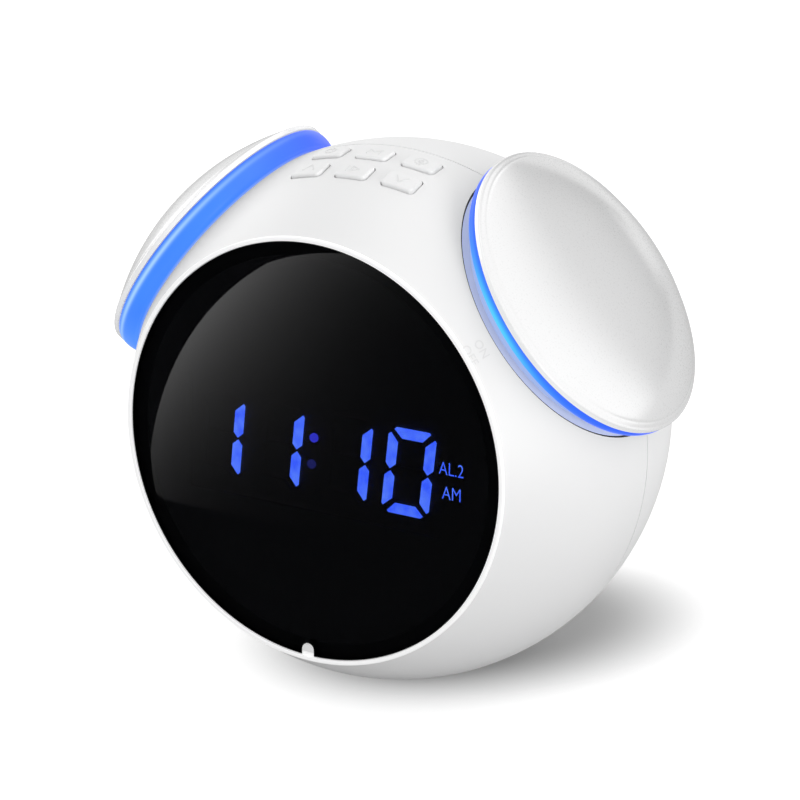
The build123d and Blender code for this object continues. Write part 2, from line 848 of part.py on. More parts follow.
def speaker_frame():
    frame = turned(
        (speaker_r, speaker_face), (speaker_r, flange_low), (basket_r, flange_low),
        (basket_foot_r, basket_low), (basket_foot_r, magnet_top), (magnet_gap_r, magnet_top),
        (magnet_gap_r, basket_low), (basket_foot_r - basket_wall, basket_low),
        (speaker_in_r, flange_low), (speaker_in_r, speaker_face))
    for x, y in speaker_screw_places:
        frame -= rod(screw_shank_r + slip, flange_low - overrun, outside, x, y)
    return frame


def speaker_magnet():
    ring = tube(magnet_r, magnet_gap_r, magnet_low + yoke_t, magnet_top)
    return ring + rod(magnet_r, magnet_low, magnet_low + yoke_t) + rod(pole_r, magnet_low, magnet_top)


def speaker_cone():
    coil_in_r = coil_r - coil_wall
    return turned(
        (0, cone_low + dome_h), (coil_in_r, cone_low), (cone_r, cone_rim), (cone_r, cone_rim - cone_t),
        (coil_r, cone_low - cone_t), (coil_r, coil_low), (coil_in_r, coil_low),
        (coil_in_r, cone_low - cone_t), (0, cone_low + dome_h - cone_t))


def speaker_surround():
    inner = cone_r + surround_gap
    outer = speaker_in_r - slip
    middle = (inner + outer) / 2
    crest = cone_rim + surround_h
    return turned(
        (inner, cone_rim - surround_t), (inner, cone_rim), (middle, crest),
        (outer, cone_rim + surround_t), (outer, cone_rim), (middle, crest - surround_t))


parts["speaker_frame"] = rear_place * speaker_frame()
parts["speaker_magnet"] = rear_place * speaker_magnet()
parts["speaker_cone"] = rear_place * speaker_cone()
parts["speaker_surround"] = rear_place * speaker_surround()


# Backup cell and its cover

cell_low = cup_floor + cup_floor_t + contact_t


def battery_cover():
    disc = rod(cover_r, ball_r - cover_t, outside) & Sphere(ball_r)
    slot = block(cover_slot_l, cover_slot_w, ball_r - cover_r ** 2 / (2 * ball_r) - cover_slot_depth, outside)
    return disc - slot + rod(cover_plug_r, cell_low + cell_t + slip, ball_r - cover_t)


parts["battery_cover"] = cover_place * battery_cover()
parts["backup_cell"] = cover_place * rod(cell_r, cell_low, cell_low + cell_t)
parts["cell_contact"] = cover_place * rod(cell_r, cup_floor + cup_floor_t, cell_low)


# Sockets and aerial

def charge_socket():
    low = pocket_floor - socket_len
    shell = block(usb_w, usb_h, low, pocket_floor)
    shell -= block(usb_w - 2 * usb_wall, usb_h - 2 * usb_wall, low + usb_back, outside)
    return shell + block(usb_tongue_w, usb_tongue_t, low + usb_back, pocket_floor - usb_tongue_gap)


def power_inlet():
    body = block(inlet_w, inlet_w, pocket_low - socket_len, pocket_low)
    body += rod(inlet_collar_r, pocket_low, pocket_low + inlet_collar_h)
    body -= rod(inlet_bore_r, pocket_floor - inlet_depth, outside)
    return body + rod(inlet_pin_r, pocket_floor - inlet_depth, pocket_low)


def aerial_strip():
    band = Sphere(inner_r) - Sphere(inner_r - aerial_t)
    band &= between(aerial_back, aerial_back + aerial_w)
    return band & block(2 * aerial_half_l, 2 * outside, 0, outside)


parts["charge_socket"] = socket_place(1) * charge_socket()
parts["power_inlet"] = socket_place(-1) * power_inlet()
parts["aerial_strip"] = aerial_strip()


# Save every piece, lifted so that the pad stands on the ground plane

os.makedirs("parts", exist_ok=True)
lift = Pos(0, 0, centre_z)
for name, shape in parts.items():
    solids = shape if isinstance(shape, list) else [shape]
    placed = [solid for item in solids for solid in (lift * item).solids()]
    export_step(placed[0] if len(placed) == 1 else Compound(placed), f"parts/{name}.step")
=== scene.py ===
import json
import math

import bmesh
import bpy
import numpy as np
from mathutils import Matrix


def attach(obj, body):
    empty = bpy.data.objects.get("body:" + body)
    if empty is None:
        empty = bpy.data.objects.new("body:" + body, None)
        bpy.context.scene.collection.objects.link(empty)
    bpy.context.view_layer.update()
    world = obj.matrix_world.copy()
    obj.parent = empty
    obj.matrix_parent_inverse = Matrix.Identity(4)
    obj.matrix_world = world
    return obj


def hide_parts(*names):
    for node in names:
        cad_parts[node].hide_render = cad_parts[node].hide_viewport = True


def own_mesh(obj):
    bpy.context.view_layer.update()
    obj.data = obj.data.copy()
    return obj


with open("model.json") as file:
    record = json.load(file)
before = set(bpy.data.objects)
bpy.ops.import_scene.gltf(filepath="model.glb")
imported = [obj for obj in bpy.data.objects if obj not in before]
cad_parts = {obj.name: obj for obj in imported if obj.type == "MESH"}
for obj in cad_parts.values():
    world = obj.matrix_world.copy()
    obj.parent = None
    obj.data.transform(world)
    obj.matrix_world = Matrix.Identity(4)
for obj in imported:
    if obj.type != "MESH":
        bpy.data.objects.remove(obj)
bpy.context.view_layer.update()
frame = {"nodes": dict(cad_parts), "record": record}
nodes = frame["nodes"]
scene = bpy.context.scene
scene.view_settings.view_transform = "Standard"

# lengths below are millimetres about the ball's centre, and become metres when a mesh is made
mm = 0.001
ball = dict(radius=58.0, centreHeight=55.4, lensLean=4.5, lensPlane=37.29, lensRadius=43.8, keyLean=10.7)
ballCentre = np.array([0.0, 0.0, ball["centreHeight"]])
sides = dict(left=-1, right=1)
print("frame loaded,", len(nodes), "nodes")


# a local frame is three unit vectors: across, up and outwards
def leanFrame(degrees):
    c, s = math.cos(math.radians(degrees)), math.sin(math.radians(degrees))
    return np.array([[1, 0, 0], [0, c, s], [0, -s, c]])


def earFrame(side, tilt):
    t = math.radians(tilt)
    axis = np.array([side * math.sin(t), 0, math.cos(t)])
    front = np.array([0, -1, 0])
    return np.array([front, np.cross(axis, front), axis])


def ballFrame(direction, up):
    out = np.array(direction, float) / np.linalg.norm(direction)
    upward = np.array(up, float) - np.dot(up, out) * out
    upward /= np.linalg.norm(upward)
    return np.array([np.cross(upward, out), upward, out])


lensFrame = leanFrame(90 - ball["lensLean"])
keyFrame = leanFrame(ball["keyLean"])


# meshes from grids of points

def gridFaces(rows, columns, wrapRows, wrapColumns):
    # quads between neighbouring rows and columns of a grid
    i = np.arange(rows if wrapRows else rows - 1)[:, None]
    j = np.arange(columns if wrapColumns else columns - 1)[None, :]
    nextI, nextJ = (i + 1) % rows, (j + 1) % columns
    corners = [i * columns + j, nextI * columns + j, nextI * columns + nextJ, i * columns + nextJ]
    return np.stack(corners, -1).reshape(-1, 4)


def makePiece(name, points, faces, material, body, stands=(), sharp=40, values=None):
    # points in millimetres about the ball's centre; doubled points are merged and faces turned outwards
    mesh = bpy.data.meshes.new(name)
    mesh.from_pydata(((points + ballCentre) * mm).tolist(), [], faces.tolist())
    for key, numbers in (values or {}).items():
        layer = mesh.attributes.new(key, "FLOAT", "POINT")
        layer.data.foreach_set("value", np.asarray(numbers, np.float32).ravel())
    work = bmesh.new()
    work.from_mesh(mesh)
    bmesh.ops.remove_doubles(work, verts=work.verts, dist=1e-6)
    bmesh.ops.recalc_face_normals(work, faces=work.faces)
    work.to_mesh(mesh)
    work.free()
    mesh.shade_smooth()
    mesh.set_sharp_from_angle(angle=math.radians(sharp))
    mesh.materials.append(material)
    piece = bpy.data.objects.new(name, mesh)
    scene.collection.objects.link(piece)
    if body is None:
        return piece
    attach(piece, body)
    if stands:
        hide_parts(*stands)
    return piece


def raisedMesh(name, points, faces, thickness, material, body):
    # flat or bent outlines given a thickness inwards
    mesh = bpy.data.meshes.new(name)
    mesh.from_pydata(((points + ballCentre) * mm).tolist(), [], faces)
    mesh.materials.append(material)
    piece = bpy.data.objects.new(name, mesh)
    scene.collection.objects.link(piece)
    solid = piece.modifiers.new("thickness", "SOLIDIFY")
    solid.thickness = thickness * mm
    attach(piece, body)


def turnedPoints(profile, place, steps):
    # a closed outline of (radius, height) carried round the frame's outward axis
    turn = np.linspace(0, 2 * np.pi, steps, endpoint=False)[:, None]
    r, z = profile[None, :, 0], profile[None, :, 1]
    local = np.stack([r * np.cos(turn), r * np.sin(turn), z + 0 * turn], -1).reshape(-1, 3)
    return local @ place, gridFaces(steps, len(profile), True, True)


def arc(centre, radius, start, end, count):
    # points on a circle from one angle to another, in degrees
    t = np.radians(np.linspace(start, end, count))
    return np.stack([centre[0] + radius * np.cos(t), centre[1] + radius * np.sin(t)], -1)


# materials

def newMaterial(name):
    material = bpy.data.materials.new(name)
    material.use_nodes = True
    tree = material.node_tree
    return material, tree, tree.nodes["Principled BSDF"]


def addNode(tree, kind, inputs=None, **settings):
    node = tree.nodes.new(kind)
    for key, value in settings.items():
        setattr(node, key, value)
    for key, value in (inputs or {}).items():
        if isinstance(value, bpy.types.NodeSocket):
            tree.links.new(value, node.inputs[key])
        else:
            node.inputs[key].default_value = value
    return node


def noiseOn(tree, scale, detail):
    coords = addNode(tree, "ShaderNodeTexCoord").outputs["Object"]
    return addNode(tree, "ShaderNodeTexNoise", {"Vector": coords, "Scale": scale, "Detail": detail})


def spread(tree, socket, low, high):
    # the middle of a noise's range, stretched to run from low to high
    return addNode(tree, "ShaderNodeMapRange", {"Value": socket, "From Min": 0.3, "From Max": 0.7,
                                                "To Min": low, "To Max": high}).outputs["Result"]


def mixColour(tree, factor, first, second):
    node = addNode(tree, "ShaderNodeMix", data_type="RGBA")
    tree.links.new(factor, node.inputs[0])
    for socket, value in ((node.inputs[6], first), (node.inputs[7], second)):
        if isinstance(value, bpy.types.NodeSocket):
            tree.links.new(value, socket)
        else:
            socket.default_value = (*value, 1)
    return node.outputs[2]


mould = dict(driftScale=24, grainHeight=0.00005, coatGloss=0.16, coatIndex=1.6)     # shared by all mouldings


def moulded(name, light, dark, gloss, grain, depth, metal=0.0, coat=0.0, shine=0.5):
    # two near tones drift over the piece, and a fine grain varies the gloss and is raised on it
    material, tree, shader = newMaterial(name)
    drift = noiseOn(tree, mould["driftScale"], 2).outputs["Fac"]
    tree.links.new(mixColour(tree, spread(tree, drift, 0, 1), dark, light), shader.inputs["Base Color"])
    fine = noiseOn(tree, grain, 3).outputs["Fac"]
    tree.links.new(spread(tree, fine, gloss[0], gloss[1]), shader.inputs["Roughness"])
    bump = addNode(tree, "ShaderNodeBump", {"Height": fine, "Strength": depth, "Distance": mould["grainHeight"]})
    tree.links.new(bump.outputs["Normal"], shader.inputs["Normal"])
    shader.inputs["Metallic"].default_value = metal
    shader.inputs["Specular IOR Level"].default_value = shine
    shader.inputs["Coat Weight"].default_value = coat
    shader.inputs["Coat Roughness"].default_value = mould["coatGloss"]
    shader.inputs["Coat IOR"].default_value = mould["coatIndex"]
    return material


shellLook = dict(light=(0.87, 0.87, 0.872), dark=(0.855, 0.855, 0.858), gloss=(0.36, 0.44), grain=2600,
                 depth=0.12, shine=0.3)
finishes = dict(
    white_shell=moulded("shellWhite", **shellLook),
    white_cap=moulded("capWhite", (0.72, 0.72, 0.722), (0.71, 0.71, 0.713), (0.26, 0.32), 3000, 0.02, coat=1.0),
    white_key=moulded("keyWhite", **shellLook),
    dark_bar=moulded("unlitBar", (0.006, 0.006, 0.008), (0.005, 0.005, 0.006), (0.4, 0.5), 2500, 0.1),
    black_plastic=moulded("blackMoulding", (0.012, 0.012, 0.014), (0.009, 0.009, 0.01), (0.45, 0.6), 1800, 0.2),
    plunger_grey=moulded("plungerGrey", (0.22, 0.22, 0.24), (0.18, 0.18, 0.2), (0.4, 0.5), 1800, 0.15),
    hub_white=moulded("hubWhite", (0.8, 0.8, 0.8), (0.76, 0.76, 0.77), (0.4, 0.5), 1800, 0.15),
    board_green=moulded("boardGreen", (0.03, 0.2, 0.09), (0.02, 0.15, 0.07), (0.3, 0.42), 900, 0.15),
    light_chip=moulded("lightChip", (0.82, 0.82, 0.62), (0.76, 0.76, 0.55), (0.3, 0.4), 1500, 0.1),
    steel=moulded("platedSteel", (0.66, 0.66, 0.68), (0.58, 0.58, 0.6), (0.22, 0.36), 1400, 0.15, metal=1.0),
    can_silver=moulded("canSilver", (0.74, 0.74, 0.76), (0.66, 0.66, 0.68), (0.25, 0.36), 1200, 0.12, metal=1.0),
    ferrite=moulded("ferriteGrey", (0.07, 0.07, 0.075), (0.045, 0.045, 0.05), (0.5, 0.65), 1500, 0.3),
    cone_paper=moulded("conePaper", (0.035, 0.035, 0.037), (0.022, 0.022, 0.024), (0.7, 0.85), 1200, 0.5),
    rubber_black=moulded("padRubber", (0.03, 0.03, 0.032), (0.022, 0.022, 0.024), (0.65, 0.8), 1500, 0.35),
    brass_strip=moulded("brassStrip", (0.78, 0.58, 0.27), (0.68, 0.5, 0.22), (0.25, 0.38), 1200, 0.12, metal=1.0),
)


def seatMilkPaintedGlow():
    # milky plastic with a painted glow: a faint blue emission stands in for its ring's light falling on it
    material = moulded("seatMilkPaintedGlow", (0.62, 0.66, 0.76), (0.60, 0.64, 0.75), (0.3, 0.36), 2200, 0.1)
    tree = material.node_tree
    shader = tree.nodes["Principled BSDF"]
    cloud = spread(tree, noiseOn(tree, 45, 1).outputs["Fac"], 0, 1)
    glow = mixColour(tree, cloud, (0.15, 0.185, 0.36), (0.17, 0.205, 0.385))
    tree.links.new(glow, shader.inputs["Emission Color"])
    shader.inputs["Emission Strength"].default_value = 1.0
    return material


finishes["pale_seat"] = seatMilkPaintedGlow()


def paintedRimLight(material, glow):
    # painted light: a near white glow on the cap's rounded rim and foot, brightening them where they lie in shade by
    # the ring
    tree = material.node_tree
    shader = tree.nodes["Principled BSDF"]
    rim = addNode(tree, "ShaderNodeAttribute", attribute_name="rim").outputs["Fac"]
    level = addNode(tree, "ShaderNodeMath", {0: rim, 1: glow}, operation="MULTIPLY")
    tree.links.new(level.outputs[0], shader.inputs["Emission Strength"])
    shader.inputs["Emission Color"].default_value = (0.96, 0.97, 1.0, 1)


paintedRimLight(finishes["white_cap"], glow=0.3)


def lensTint():
    # dark tinted acrylic: clear enough for lit bars, polished, with a trace of unevenness
    material, tree, shader = newMaterial("lensTint")
    drift = noiseOn(tree, 12, 1).outputs["Fac"]
    tint = mixColour(tree, drift, (0.05, 0.052, 0.06), (0.046, 0.048, 0.055))
    tree.links.new(tint, shader.inputs["Base Color"])
    shader.inputs["Transmission Weight"].default_value = 1.0
    shader.inputs["IOR"].default_value = 1.49
    shader.inputs["Roughness"].default_value = 0.0
    return material


display = dict(strength=18.0, dots=(0.0565, 0.0605))     # glow of bars and dots, heights of the two dots in metres


def litBars():
    # blue bars, a little paler along patches of the diffuser
    material, tree, shader = newMaterial("litBlue")
    patch = noiseOn(tree, 420, 1).outputs["Fac"]
    glow = mixColour(tree, spread(tree, patch, 0, 1), (0.045, 0.12, 1.0), (0.10, 0.22, 1.0))
    tree.links.new(glow, shader.inputs["Emission Color"])
    shader.inputs["Emission Strength"].default_value = display["strength"]
    shader.inputs["Base Color"].default_value = (0.01, 0.02, 0.1, 1)
    return material


def dimDots():
    # dim colon, the upper dot brighter than the lower
    material, tree, shader = newMaterial("dimBlue")
    coords = addNode(tree, "ShaderNodeTexCoord")
    height = addNode(tree, "ShaderNodeSeparateXYZ", {"Vector": coords.outputs["Object"]}).outputs["Z"]
    low, high = display["dots"]
    span = {"Value": height, "From Min": low, "From Max": high}
    share = addNode(tree, "ShaderNodeMapRange", span).outputs["Result"]
    glow = mixColour(tree, share, (0.010, 0.012, 0.09), (0.030, 0.032, 0.50))
    tree.links.new(glow, shader.inputs["Emission Color"])
    shader.inputs["Emission Strength"].default_value = display["strength"]
    shader.inputs["Base Color"].default_value = (0.01, 0.01, 0.03, 1)
    return material


# both rings are one part: the right ring's darker blues are painted shade, the ends tone is painted shade away from
# the front, and the streak tone a painted highlight
ringTones = dict(
    left=dict(deep=(0.052, 0.235, 1.0), pale=(0.065, 0.27, 1.0), ends=(0.085, 0.14, 1.0),
              paintedHighlight=(0.42, 0.70, 1.0)),
    right=dict(deep=(0.03, 0.125, 1.0), pale=(0.036, 0.15, 1.0), ends=(0.045, 0.085, 1.0),
               paintedHighlight=(0.09, 0.66, 1.0)),
)
# the cap line tone is painted shade along the cap's edge; the neck tone is the pale neck below the bulge
bothRings = dict(paintedCapShade=(0.05, 0.075, 0.72), neck=(0.39, 0.50, 0.80), strength=0.93)


def ringGlow(name, deep, pale, ends, paintedHighlight):
    # lit diffuser: deep blue, with painted shade that turns it darker and violet at the far ends and in a line by the
    # cap, one painted highlight streak, a pale neck below
    material, tree, shader = newMaterial(f"{name}RingGlow")
    share = {key: addNode(tree, "ShaderNodeAttribute", attribute_name=key).outputs["Fac"]
             for key in ("ends", "paintedHighlight", "paintedCapShade", "lit")}
    cloud = spread(tree, noiseOn(tree, 60, 1).outputs["Fac"], 0, 1)
    glow = mixColour(tree, cloud, deep, pale)
    glow = mixColour(tree, share["ends"], glow, ends)
    glow = mixColour(tree, share["paintedHighlight"], glow, paintedHighlight)
    glow = mixColour(tree, share["paintedCapShade"], glow, bothRings["paintedCapShade"])
    glow = mixColour(tree, share["lit"], bothRings["neck"], glow)
    tree.links.new(glow, shader.inputs["Emission Color"])
    shader.inputs["Emission Strength"].default_value = bothRings["strength"]
    shader.inputs["Base Color"].default_value = (0.01, 0.03, 0.15, 1)
    shader.inputs["Roughness"].default_value = 0.3
    shader.inputs["Specular IOR Level"].default_value = 0.1
    return material


ringGlows = {name: ringGlow(name, **tones) for name, tones in ringTones.items()}
finishes["black_lens"] = lensTint()
finishes["lit_blue"] = litBars()
finishes["dim_blue"] = dimDots()
finishes["blue_diffuser"] = ringGlows["left"]

for part in frame["record"]["subparts"]:
    mesh = nodes[part["node"]].data
    mesh.materials.clear()
    mesh.materials.append(finishes[part["material_slot"]])
print("materials on", len(nodes), "nodes")


# lens: a disc with a soft edge and a round topped notch at its foot, in a white bead

lens = dict(back=34.94, edge=0.18, notchHalf=1.5, notchHeight=2.7, inNotch=1.0001, beside=1.0005, border=0.93,
            backDepth=0.1, wallTilt=0.3, around=720, notchSteps=41, frontRings=12, edgeRings=6, backRings=5)


def lensPoints():
    # distance to the edge over the turn from the foot: the radius, or the notch's round top at small turns
    turn = np.linspace(-np.pi, np.pi, lens["around"], endpoint=False)
    notchTurn = math.asin(lens["notchHalf"] / ball["lensRadius"])
    upright = np.array([-1, 1]) * lens["beside"] * notchTurn     # close by the notch, so that its sides stand straight
    turn = np.sort(np.concatenate([turn[np.abs(turn) > notchTurn],
                                   np.linspace(-1, 1, lens["notchSteps"]) * notchTurn, upright]))
    centre = ball["lensRadius"] - lens["notchHeight"] + lens["notchHalf"]
    inside = np.maximum(lens["notchHalf"] ** 2 - (centre * np.sin(turn)) ** 2, 0)
    notch = centre * np.cos(turn) - np.sqrt(inside)
    reach = np.where(np.abs(turn) <= lens["inNotch"] * notchTurn, notch, ball["lensRadius"])
    front, back = lens["frontRings"], lens["backRings"]
    bend = arc((-lens["edge"], ball["lensPlane"] - lens["edge"]), lens["edge"], 90, 0, lens["edgeRings"])
    share = np.concatenate([np.linspace(0, 1, front), np.ones(len(bend) + 1), np.linspace(lens["border"], 0, back)])
    inset = np.concatenate([np.linspace(0, -lens["edge"], front), bend[:, 0], np.zeros(back + 1)])
    depth = np.concatenate([np.full(front, ball["lensPlane"]), bend[:, 1], np.full(back + 1, lens["back"])])
    r = reach[:, None] * share[None, :] + inset[None, :]
    local = np.stack([r * np.sin(turn)[:, None], -r * np.cos(turn)[:, None], depth[None, :] + 0 * r], -1)
    return local.reshape(-1, 3) @ lensFrame, gridFaces(len(turn), len(share), True, True)


points, faces = lensPoints()
glass = makePiece("lensGlass", points, faces, finishes["black_lens"], "case", ["display_lens"])
glass.data.materials.append(finishes["black_plastic"])     # its wall and a border on its back are painted black
for face in glass.data.polygons:
    across, up, out = lensFrame @ (np.array(face.center) / mm - ballCentre)
    wall = abs(np.dot(face.normal, lensFrame[2])) < lens["wallTilt"]
    outer = math.hypot(across, up) > lens["border"] * ball["lensRadius"]
    face.material_index = int(wall or (outer and out < lens["back"] + lens["backDepth"]))

# glow is a painted highlight: an emission that makes the bead and the tab in the notch brighter than their lighting
# does
bead = dict(inner=43.85, outer=44.8, low=36.7, top=37.66, round=0.22, corner=6, steps=360, glow=0.22)


def beadProfile():
    # a low wall round the lens with two rounded upper corners
    high = bead["top"] - bead["round"]
    inside = arc((bead["inner"] + bead["round"], high), bead["round"], 180, 90, bead["corner"])
    outside = arc((bead["outer"] - bead["round"], high), bead["round"], 90, 0, bead["corner"])
    return np.concatenate([inside, outside, [(bead["outer"], bead["low"]), (bead["inner"], bead["low"])]])


# white moulding with a painted highlight glow, for the bead and the tab
beadWhitePaintedGlow = moulded("beadWhitePaintedGlow", (0.88, 0.88, 0.882), (0.87, 0.87, 0.873), (0.3, 0.36), 2600, 0.05)
beadShader = beadWhitePaintedGlow.node_tree.nodes["Principled BSDF"]
beadShader.inputs["Emission Color"].default_value = (1, 1, 1, 1)
beadShader.inputs["Emission Strength"].default_value = bead["glow"]
points, faces = turnedPoints(beadProfile(), lensFrame, bead["steps"])
makePiece("lensBead", points, faces, beadWhitePaintedGlow, "case")

# the tab carries the bead's painted highlight glow
tongue = dict(half=1.42, foot=-44.0, sunk=0.06, thickness=0.8, steps=25)     # white tab in the notch
topCentre = (0, lens["notchHeight"] - lens["notchHalf"] - ball["lensRadius"])
outline = np.concatenate([[(-tongue["half"], tongue["foot"]), (tongue["half"], tongue["foot"])],
                          arc(topCentre, tongue["half"], 0, 180, tongue["steps"])])
local = np.column_stack([outline, np.full(len(outline), ball["lensPlane"] - tongue["sunk"])])
raisedMesh("lensTongue", local @ lensFrame, [list(range(len(outline)))], tongue["thickness"], beadWhitePaintedGlow, "case")
print("lens made")


# ears: cap, light ring and a black band painted as the shadow round the seat, turned about each ear's axis

ear = dict(tilt=53.6, ringTop=55.14, seatRadius=29.4, seatTop=49.59, neckRadius=26.8, neckLow=45.49, neckWall=2.0,
           webThickness=1.6, hubBore=5.3, steps=256)
cap = dict(radius=31.3, rise=10.75, edge=0.9, wall=2.0, rimRound=0.55, grooveIn=1.5, grooveDepth=0.05,
           grooveWidth=0.22, chamfer=0.1, fineFrom=0.93, domeSteps=60, fineSteps=24, rimSteps=8, insideSteps=30)


def capProfile():
    # a shallow dome to a fine groove, a rounded rim, the underside and the hollow inside, with each point's share of
    # the painted rim light
    sag = cap["rise"] - cap["edge"]
    radius = (cap["radius"] ** 2 + sag ** 2) / (2 * sag)
    low = ear["ringTop"] + cap["rise"] - radius
    rimTurn = math.asin((cap["radius"] - cap["rimRound"]) / radius)
    turn = np.concatenate([np.linspace(0, cap["fineFrom"] * rimTurn, cap["domeSteps"]),
                           np.linspace(cap["fineFrom"] * rimTurn, rimTurn, cap["fineSteps"])[1:]])
    r = radius * np.sin(turn)
    groove = cap["grooveDepth"] * np.exp(-((cap["radius"] - cap["grooveIn"] - r) / cap["grooveWidth"]) ** 2)
    top = np.stack([r, low + radius * np.cos(turn) - groove], -1)
    rimCentre = (top[-1, 0], top[-1, 1] - cap["rimRound"])
    rim = arc(rimCentre, cap["rimRound"], 90 - math.degrees(rimTurn), 0, cap["rimSteps"])
    foot = np.array([(cap["radius"], ear["ringTop"] + cap["chamfer"]),
                     (cap["radius"] - cap["chamfer"], ear["ringTop"])])
    inner = radius - cap["wall"]
    innerTurn = np.linspace(math.acos((ear["ringTop"] - low) / inner), 0, cap["insideSteps"])
    hollow = np.stack([inner * np.sin(innerTurn), low + inner * np.cos(innerTurn)], -1)
    # share of painted rim light: none on the dome, rising over the rim, full on the foot, none inside
    glow = np.concatenate([0 * r, np.linspace(0, 1, len(rim)), np.ones(len(foot)), np.zeros(len(hollow))])
    return np.concatenate([top, rim, foot, hollow]), glow


ringShape = dict(left=dict(low=50.3, top=30.6, foot=30.0, swell=0.95),
                 right=dict(low=52.85, top=30.8, foot=30.4, swell=0.6))
ringLines = 25     # points across the bulge


def ringProfile(low, top, foot, swell):
    # a bulge, half an ellipse on the slope from top to foot, then the neck below it and the web inside it
    t = np.linspace(0, 1, ringLines)
    r = top + (foot - top) * t + swell * np.sqrt(1 - (2 * t - 1) ** 2)
    bulge = np.stack([r, ear["ringTop"] + (low - ear["ringTop"]) * t], -1)
    neckIn, webLow = ear["neckRadius"] - ear["neckWall"], ear["ringTop"] - ear["webThickness"]
    rest = np.array([(ear["neckRadius"], low), (ear["neckRadius"], ear["neckLow"]), (neckIn, ear["neckLow"]),
                     (neckIn, webLow), (ear["hubBore"], webLow), (ear["hubBore"], ear["ringTop"])])
    across = np.concatenate([np.linspace(0, 1, len(bulge)), 2 + np.zeros(len(rest))])     # 2 is off the bulge
    return np.concatenate([bulge, rest]), across


# place, width, turn and arc of each ring's painted highlight streak; width of the painted shade line by the cap, and
# where the painted shade of the far ends begins
ringLight = dict(left=dict(paintedHighlightAt=0.27, paintedHighlightWidth=0.1, paintedHighlightTurn=5.0, paintedHighlightArc=55.0),
                 right=dict(paintedHighlightAt=0.7, paintedHighlightWidth=0.45, paintedHighlightTurn=-8.0, paintedHighlightArc=26.0),
                 paintedCapShade=0.05, paintedEndShadeTurn=75.0, paintedEndShadeStart=0.6)


def makeRing(name, points, faces, across):
    # shares on a grid of turn and place across the bulge: bell curves for the painted highlight streak and the painted
    # shade line by the cap, a ramp of painted shade for the ends
    look = ringLight[name]
    turn = np.linspace(0, 360, ear["steps"], endpoint=False)[:, None]
    fromFront = np.abs((turn + 180) % 360 - 180)
    fromPaintedHighlight = np.abs((turn - look["paintedHighlightTurn"] + 180) % 360 - 180)
    bell = np.exp(-((across[None, :] - look["paintedHighlightAt"]) / look["paintedHighlightWidth"]) ** 2)
    shares = dict(paintedHighlight=bell * np.exp(-(fromPaintedHighlight / look["paintedHighlightArc"]) ** 2),
                  ends=np.clip(fromFront / ringLight["paintedEndShadeTurn"] - ringLight["paintedEndShadeStart"], 0, 1) + 0 * across[None, :],
                  paintedCapShade=np.exp(-(across[None, :] / ringLight["paintedCapShade"]) ** 2) + 0 * turn,
                  lit=(across[None, :] <= 1) + 0 * turn)
    ring = makePiece(f"{name}GlowRing", points, faces, ringGlows[name], f"{name}_ear", [f"{name}_light_ring"],
                     values=shares)
    ring.visible_diffuse = ring.visible_glossy = False     # its glow stays out of the white shells


seatShadeBand = dict(outer=29.74, width=0.04, wide=0.55, wideTurn=100.0, wideArc=20.0, rise=0.06, foot=0.2)


def seatShadeBandPoints(place):
    # a thin closed black band on the seat's edge, painted shadow between seat and shell, wider in a bell curve at each
    # end
    turn = np.linspace(0, 360, ear["steps"], endpoint=False)
    fromFront = np.abs((turn + 180) % 360 - 180)
    bell = np.exp(-((fromFront - seatShadeBand["wideTurn"]) / seatShadeBand["wideArc"]) ** 2)
    width = seatShadeBand["width"] + seatShadeBand["wide"] * bell
    inner, outer = ear["seatRadius"] - width, seatShadeBand["outer"] + 0 * width
    r = np.stack([inner, outer, outer, inner], -1)
    z = ear["seatTop"] + np.array([1, 1, seatShadeBand["foot"], seatShadeBand["foot"]]) * seatShadeBand["rise"]
    angle = np.radians(turn)[:, None]
    local = np.stack([r * np.cos(angle), r * np.sin(angle), z[None, :] + 0 * r], -1).reshape(-1, 3)
    return local @ place, gridFaces(ear["steps"], 4, True, True)


for name, side in sides.items():
    place = earFrame(side, ear["tilt"])
    outline, glow = capProfile()
    points, faces = turnedPoints(outline, place, ear["steps"])
    # the rim attribute carries the painted rim light
    makePiece(f"{name}CapShell", points, faces, finishes["white_cap"], f"{name}_ear", [f"{name}_ear_cap"],
              values=dict(rim=np.tile(glow, ear["steps"])))
    outline, across = ringProfile(**ringShape[name])
    points, faces = turnedPoints(outline, place, ear["steps"])
    makeRing(name, points, faces, across)
    # black band of painted shadow round the seat
    points, faces = seatShadeBandPoints(place)
    makePiece(f"{name}SeatShadeBand", points, faces, finishes["black_plastic"], "case")
print("ears turned")


# return spring under the right cap, wound at rest; the real one is squeezed as the ear is pressed

spring = dict(low=42.49, high=53.54, wire=0.6, coil=8.38, turns=5, steps=300, around=12, travel=1.55)


def springPoints(place):
    # a round wire along a helix: each ring of points lies across the path, both ends shrink to a point
    share = np.concatenate([[0], np.linspace(0, 1, spring["steps"]), [1]])[:, None]
    wire = np.concatenate([[0], np.full(spring["steps"], spring["wire"]), [0]])[:, None]
    angle = 2 * np.pi * spring["turns"] * share
    rise = spring["high"] - spring["low"] - 2 * spring["wire"]
    slope = math.atan2(rise, 2 * np.pi * spring["turns"] * spring["coil"])
    around = np.linspace(0, 2 * np.pi, spring["around"], endpoint=False)[None, :]
    outward, upward = wire * np.cos(around), wire * np.sin(around)
    r = spring["coil"] + outward
    along = -upward * math.sin(slope)
    height = spring["low"] + spring["wire"] + rise * share + upward * math.cos(slope)
    x = r * np.cos(angle) - along * np.sin(angle)
    y = r * np.sin(angle) + along * np.cos(angle)
    local = np.stack([x, y, height], -1).reshape(-1, 3)
    return local @ place, gridFaces(spring["steps"] + 2, spring["around"], False, True)


place = earFrame(sides["right"], ear["tilt"])
points, faces = springPoints(place)
coil = makePiece("returnSpring", points, faces, finishes["steel"], "case", ["right_return_spring"])
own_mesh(coil)
print("spring wound")


